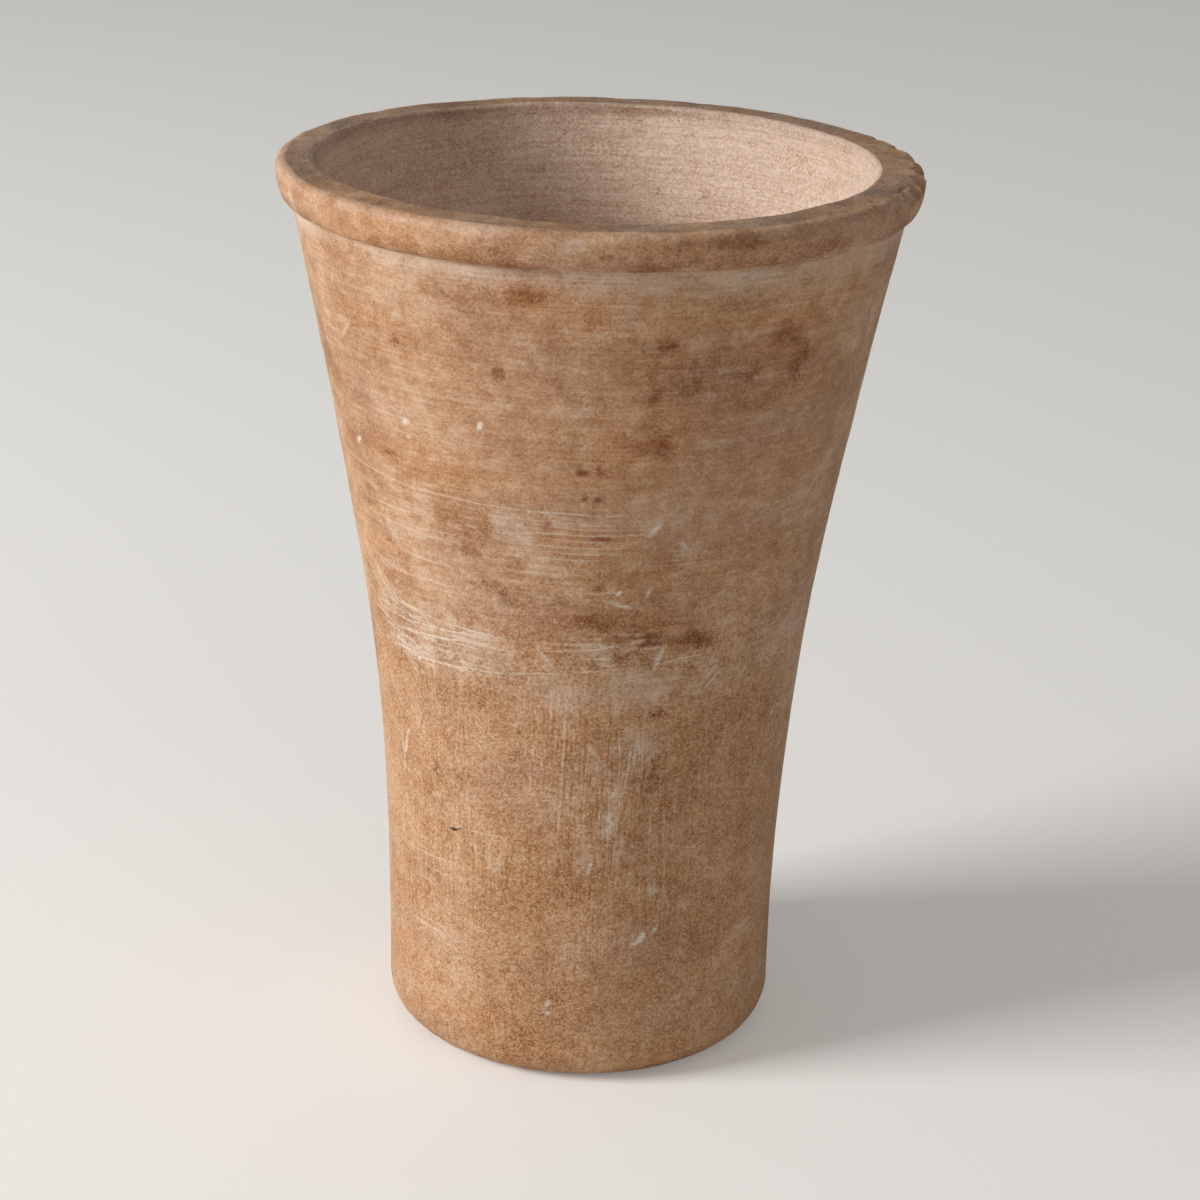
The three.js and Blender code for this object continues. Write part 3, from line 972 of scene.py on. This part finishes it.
def stone_patterns(tree, place, worn):
    """The stone's patterns and the tools' streaks, each swinging about its middle."""
    seen = {name: noise_of(tree, place, *sizes) for name, sizes in PATTERNS.items()}
    for name, breadth in CRYSTALS.items():
        cells = add(tree, "TexVoronoi", place, named={"Scale": 1 / (breadth * MM)}, out="Color")
        seen[name] = add(tree, "SeparateXYZ", cells).node.outputs["X"]

    # Height and radius together rise up the wall and across the lip's flat top, so the lathe's marks
    # run level on the one and in rings on the other
    axes = add(tree, "SeparateXYZ", place).node.outputs
    level = add(tree, "CombineXYZ", axes["X"], axes["Y"])
    radius = add(tree, "VectorMath LENGTH", level, out="Value")
    climb = add(tree, "Math ADD", axes["Z"], radius)
    lathe = add(tree, "CombineXYZ", axes["X"], axes["Y"], climb)
    seen["turning"] = noise_of(tree, lathe, *TURNING)
    seen["streaks"] = MIDDLE
    for name, where, gain in STREAKS:
        swing = add(tree, "Math MULTIPLY_ADD", seen[name], gain, -gain * MIDDLE)
        seen["streaks"] = add(tree, "Math MULTIPLY_ADD", swing, worn[where], seen["streaks"])

    for where, names in FADING.items():
        for name in names:
            swing = add(tree, "Math SUBTRACT", seen[name], MIDDLE)
            seen[name] = add(tree, "Math MULTIPLY_ADD", swing, worn[where], MIDDLE)
    return seen


def bare_stone(tree, seen, worn, colours):
    """The stone's colour along its tone, with other colours where it is pinker, inside or grimy."""
    base = MIDDLE * (1 - sum(TONE.values()))
    tone = weighted_sum(tree, base, *((seen[name], weight) for name, weight in TONE.items()))
    stone = None
    for where, *stops in (
        (None, (0.25, colours.deep), (0.5, colours.body), (0.75, colours.light)),
        ("blush", (0.25, colours.blush_deep), (0.75, colours.blush_light)),
        ("inside", (0.3, colours.hollow_deep), (0.66, colours.hollow_light)),
        ("grime", (0.3, colours.grime_deep), (0.7, colours.grime_light)),
    ):
        tinted = add(tree, "ValToRGB", tone)
        elements = tinted.node.color_ramp.elements
        if len(stops) > len(elements):
            elements.new(0.5)
        for element, (position, tint) in zip(elements, stops):
            element.position, element.color = position, tint
        if where:
            layers = {6: stone, 7: tinted}
            tinted = add(tree, "Mix", worn[where], named=layers, out=2, data_type="RGBA")
        stone = tinted
    return stone


def hairlines_over(tree, place, seen, worn):
    """Hairline scratches: the level lines of stretched noise, broken up by the mottling."""
    lines = []
    for across, upright, tilt, breadth, strength, where in HAIRLINES:
        field = noise_of(tree, place, across, upright, tilt, detail=1.0)
        swing = add(tree, "Math SUBTRACT", field, MIDDLE)
        distance = add(tree, "Math ABSOLUTE", swing)
        drawn = add(tree, "MapRange", distance, 0.0, breadth, strength, 0.0)
        lines.append((drawn, worn[where]))
    broken = add(tree, "MapRange", seen["mottle"], *BROKEN_LINES)
    return add(tree, "Math MULTIPLY", weighted_sum(tree, 0.0, *lines), broken)


def specks_over(tree, place, rough):
    """Specks in some cells only: bruises and pits up to 1.4 mm across, and fine pores and crystals."""
    specks = {}
    for name, (spacing, shift, rarity, largest, softness) in SPECKS.items():
        moved = add(tree, "Mapping", place, (shift, shift, shift))
        cells = add(tree, "TexVoronoi", moved, named={"Scale": 1 / (spacing * MM)}).node.outputs
        chance = add(tree, "SeparateXYZ", cells["Color"]).node.outputs["X"]
        size = add(tree, "MapRange", chance, rarity, 1.0, 0.0, largest)
        gap = add(tree, "Math SUBTRACT", size, cells["Distance"])
        specks[name] = add(tree, "MapRange", gap, 0.0, softness)
    for name in ("pores", "glints"):
        specks[name] = add(tree, "Math MULTIPLY", specks[name], rough)
    return specks


def stain_and_painted_light_share(tree, seen, uneven, worn, specks):
    """How much the stone is darkened: patches of stains, painted shade and glow that take most where it
    is dark, dark flecks and pores.
    """
    soaked = add(tree, "Math MULTIPLY_ADD", uneven, DARKENING_UNEVENNESS, worn["stain_and_painted_light"])
    soaked = add(tree, "MapRange", soaked, *DARKENING_RANGE)
    fleck = add(tree, "MapRange", seen["flecks"], *DARK_FLECKS)
    fleck = add(tree, "Math MULTIPLY_ADD", specks["pores"], STRENGTH["pores"], fleck)
    return add(tree, "Math MULTIPLY_ADD", fleck, worn["handled"], soaked)


def rubbed_share(tree, seen, uneven, worn, specks, hairlines):
    """How much the stone is rubbed pale: haze, patches, flecks, crystals, chips and hairlines."""
    haze = add(tree, "MapRange", seen["clouds"], *PALE_HAZE)
    rubbed = weighted_sum(tree, worn["pale"], (haze, worn["outside"]), (uneven, RUBBED_UNEVENNESS))
    rubbed = add(tree, "MapRange", rubbed, *RUBBED_THROUGH)
    brushed = add(tree, "Math ADD", seen["streaks"], seen["grain"])
    brushed = add(tree, "MapRange", brushed, *BRUSHED)
    fleck = add(tree, "MapRange", seen["flecks"], *PALE_FLECKS)
    rubbed = weighted_sum(tree, fleck, (rubbed, brushed), (specks["glints"], STRENGTH["glints"]))
    unstained = add(tree, "Math MULTIPLY_ADD", worn["stain_and_painted_light"], DARKENING_COVER, 1.0)
    chips = worn["chipped"], STRENGTH["chips"]
    return add(tree, "Clamp", weighted_sum(tree, hairlines, (rubbed, unstained), chips))


def scratched_shares(tree, place, seen, worn, specks):
    """How much the stone is bruised white, by scratches, knocks and worn edges, and how much is dark."""
    unrolled = unrolled_wall(tree, place)
    gritty = add(tree, "MapRange", seen["grain"], *GRITTY)
    white = strokes_over(tree, unrolled, PALE_STROKES)
    white = add(tree, "Math MULTIPLY", white, gritty)
    white = add(tree, "Math MULTIPLY", white, worn["outside"])
    bruises = add(tree, "Math MULTIPLY", specks["white"], STRENGTH["bruises"])
    white = add(tree, "Math MAXIMUM", white, bruises)
    edges = add(tree, "Math MULTIPLY", worn["edge"], gritty)
    white = add(tree, "Math MULTIPLY_ADD", edges, STRENGTH["edges"], white)

    dark = strokes_over(tree, unrolled, DARK_STROKES)
    dark = add(tree, "Math MULTIPLY", dark, worn["outside"])
    pits = add(tree, "Math MULTIPLY", specks["dark"], STRENGTH["pits"])
    return white, add(tree, "Math MAXIMUM", dark, pits)


def carved_calcite(colours):
    """Carved calcite: turned above, scraped below, dulled by age and handling.

    Fine brown veining and grain, streaks left by the tools, pale bruises where the crystals are
    crushed, and a little light that enters at the edges.
    """
    material = bpy.data.materials.new("carved_calcite")
    material.use_nodes = True
    tree = material.node_tree
    shader = tree.nodes["Principled BSDF"]

    place = add(tree, "TexCoord", out="Object")
    worn = wear_on(tree)
    seen = stone_patterns(tree, place, worn)
    specks = specks_over(tree, place, worn["rough"])
    hairlines = hairlines_over(tree, place, seen, worn)
    base = -MIDDLE * sum(UNEVEN.values())
    uneven = weighted_sum(tree, base, *((seen[name], weight) for name, weight in UNEVEN.items()))

    # Rust and stains lie in the stone, along with painted shade and glow; rubbing and knocks take them
    # off, and dirt, with the dents' painted shade, fills what they leave
    rusty = add(tree, "Math MULTIPLY", worn["rust"], STRENGTH["rust"])
    darkening_share = stain_and_painted_light_share(tree, seen, uneven, worn, specks)
    rubbed = rubbed_share(tree, seen, uneven, worn, specks, hairlines)
    white, dark = scratched_shares(tree, place, seen, worn, specks)
    stone = bare_stone(tree, seen, worn, colours)
    for share, tint, way in (
        (rusty, colours.rust, "COLOR"),
        (darkening_share, colours.stain_and_painted_light, "MULTIPLY"),
        (rubbed, colours.scuff, "MIX"),
        (white, colours.bruise, "MIX"),
        (dark, colours.pit_and_dent_shade, "MIX"),
    ):
        layers = {6: stone, 7: tint}
        stone = add(tree, "Mix", share, named=layers, out=2, data_type="RGBA", blend_type=way)
    tree.links.new(stone, shader.inputs["Base Color"])

    # Rubbed stone is duller than the handled skin
    dull = add(tree, "MapRange", seen["mottle"], *DULLNESS)
    dull = add(tree, "Math MULTIPLY_ADD", rubbed, STRENGTH["dulling"], dull)
    tree.links.new(dull, shader.inputs["Roughness"])

    shapes = {**seen, **specks}
    relief = weighted_sum(tree, 0.0, *((shapes[name], depth) for name, depth in RELIEF.items()))
    bump = add(tree, "Bump", named={"Height": relief, "Distance": MM})
    tree.links.new(bump, shader.inputs["Normal"])

    for name, value in STONE_FINISH.items():
        shader.inputs[name].default_value = value
    return material


class VASE_OT_carve_body(bpy.types.Operator):
    """Model the vase's one carved body and give it its worn finish"""

    bl_idname = "vase.carve_body"
    bl_label = "Carve Vase Body"

    def execute(self, context):
        sizes = context.scene.vase_sizes
        mesh = bpy.data.meshes.new(BODY_NAME)
        bm = bmesh.new()
        turn_outline(bm, outline(sizes))
        unroll(bm)
        work_surface(bm, sizes)
        bm.to_mesh(mesh)
        bm.free()
        mesh.shade_smooth()
        mesh.set_sharp_from_angle(angle=math.radians(SHARP_TURN))
        paint_wear(mesh, sizes)
        body = bpy.data.objects.new(BODY_NAME, mesh)
        context.scene.collection.objects.link(body)
        mesh.materials.append(carved_calcite(context.scene.vase_colours))
        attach(body, "root")
        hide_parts("vase_body")
        return {"FINISHED"}


# Where the photograph was taken from: metres from the foot's middle, and degrees
CAMERA_PLACE = Vector((0, -0.4923, 0.2601))
CAMERA_PITCH = 20.404
CAMERA_YAW = 0.2335
CAMERA_ROLL = 1.6595
CAMERA_LENS = 90.295
SENSOR_WIDTH = 36

# Lamps: degrees from the front and above level, and metres from the aim and across
KEY_LAMP = (-73, 25, 1.6, 0.6)
FILL_LAMP = (30, 30, 1.2, 0.8)
LAMP_AIM = Vector((0, 0, 0.09))

FLOOR_HALF_SIZE = 4.0
PAPER_ROUGHNESS = 0.9


def camera_turn():
    """The camera's axes as columns: right, up and backwards."""
    pitch, yaw, roll = map(math.radians, (CAMERA_PITCH, CAMERA_YAW, CAMERA_ROLL))
    ahead = Vector(
        (math.sin(yaw) * math.cos(pitch), math.cos(yaw) * math.cos(pitch), -math.sin(pitch))
    )
    level = Vector((math.cos(yaw), -math.sin(yaw), 0))
    upward = level.cross(ahead)
    right = math.cos(roll) * level + math.sin(roll) * upward
    up = math.cos(roll) * upward - math.sin(roll) * level
    return Matrix((right, up, -ahead)).transposed()


def place_camera(scene):
    """Stands the camera where the photograph was taken."""
    data = bpy.data.cameras.new("camera")
    data.lens = CAMERA_LENS
    data.sensor_width = SENSOR_WIDTH
    camera = bpy.data.objects.new("camera", data)
    camera.matrix_world = Matrix.Translation(CAMERA_PLACE) @ camera_turn().to_4x4()
    scene.collection.objects.link(camera)
    scene.camera = camera


def hang_lamp(scene, name, power, angle, rise, distance, width):
    """Hangs a square soft lamp at an angle from the front and a rise above level, turned to the vase."""
    data = bpy.data.lights.new(name, "AREA")
    data.size = width
    data.energy = power
    lamp = bpy.data.objects.new(name, data)
    tilt = math.radians(rise)
    lamp.location = LAMP_AIM + around(angle, distance * math.cos(tilt), distance * math.sin(tilt))
    lamp.rotation_euler = (LAMP_AIM - lamp.location).to_track_quat("-Z", "Y").to_euler()
    scene.collection.objects.link(lamp)


def paper_floor(look):
    """Matt studio paper, plain and pale."""
    material = bpy.data.materials.new("studio_paper")
    material.use_nodes = True
    tree = material.node_tree
    shader = tree.nodes["Principled BSDF"]
    shader.inputs["Base Color"].default_value = look.floor
    shader.inputs["Roughness"].default_value = PAPER_ROUGHNESS
    shader.inputs["Emission Color"].default_value = look.floor
    seen = add(tree, "LightPath", out="Is Camera Ray")
    lift = add(tree, "Math MULTIPLY", seen, look.floor_lift)
    tree.links.new(lift, shader.inputs["Emission Strength"])
    return material


class VASE_OT_set_stage(bpy.types.Operator):
    """Set up the pale floor, the soft lamps and the camera"""

    bl_idname = "vase.set_stage"
    bl_label = "Set Stage"

    def execute(self, context):
        scene = context.scene
        look = scene.vase_stage
        mesh = bpy.data.meshes.new("floor")
        bm = bmesh.new()
        bmesh.ops.create_grid(bm, x_segments=1, y_segments=1, size=FLOOR_HALF_SIZE)
        bm.to_mesh(mesh)
        bm.free()
        mesh.materials.append(paper_floor(look))
        floor = bpy.data.objects.new("floor", mesh)
        scene.collection.objects.link(floor)

        hang_lamp(scene, "key_lamp", look.key_power, *KEY_LAMP)
        hang_lamp(scene, "fill_lamp", look.fill_power, *FILL_LAMP)

        world = bpy.data.worlds.new("studio")
        world.use_nodes = True
        background = world.node_tree.nodes["Background"]
        background.inputs["Color"].default_value = look.sky
        background.inputs["Strength"].default_value = look.sky_strength
        scene.world = world
        scene.view_settings.view_transform = "Standard"
        place_camera(scene)
        return {"FINISHED"}


class VASE_PT_sidebar(bpy.types.Panel):
    """The vase's sizes, colours and stage"""

    bl_idname = "VASE_PT_sidebar"
    bl_label = "Carved Vase"
    bl_space_type = "VIEW_3D"
    bl_region_type = "UI"
    bl_category = "Vase"

    def draw(self, context):
        scene = context.scene
        for group in (scene.vase_sizes, scene.vase_colours, scene.vase_stage):
            column = self.layout.column(align=True)
            for name in group.__annotations__:
                column.prop(group, name)
        self.layout.operator(VASE_OT_carve_body.bl_idname)
        self.layout.operator(VASE_OT_set_stage.bl_idname)


CLASSES = (VaseSizes, StoneColours, StageLook, VASE_OT_carve_body, VASE_OT_set_stage, VASE_PT_sidebar)


def register():
    for cls in CLASSES:
        bpy.utils.register_class(cls)
    bpy.types.Scene.vase_sizes = bpy.props.PointerProperty(type=VaseSizes)
    bpy.types.Scene.vase_colours = bpy.props.PointerProperty(type=StoneColours)
    bpy.types.Scene.vase_stage = bpy.props.PointerProperty(type=StageLook)


def unregister():
    del bpy.types.Scene.vase_stage
    del bpy.types.Scene.vase_colours
    del bpy.types.Scene.vase_sizes
    for cls in reversed(CLASSES):
        bpy.utils.unregister_class(cls)


def main():
    register()
    bpy.ops.vase.set_stage()
    bpy.ops.vase.carve_body()


if __name__ == "__main__":
    main()
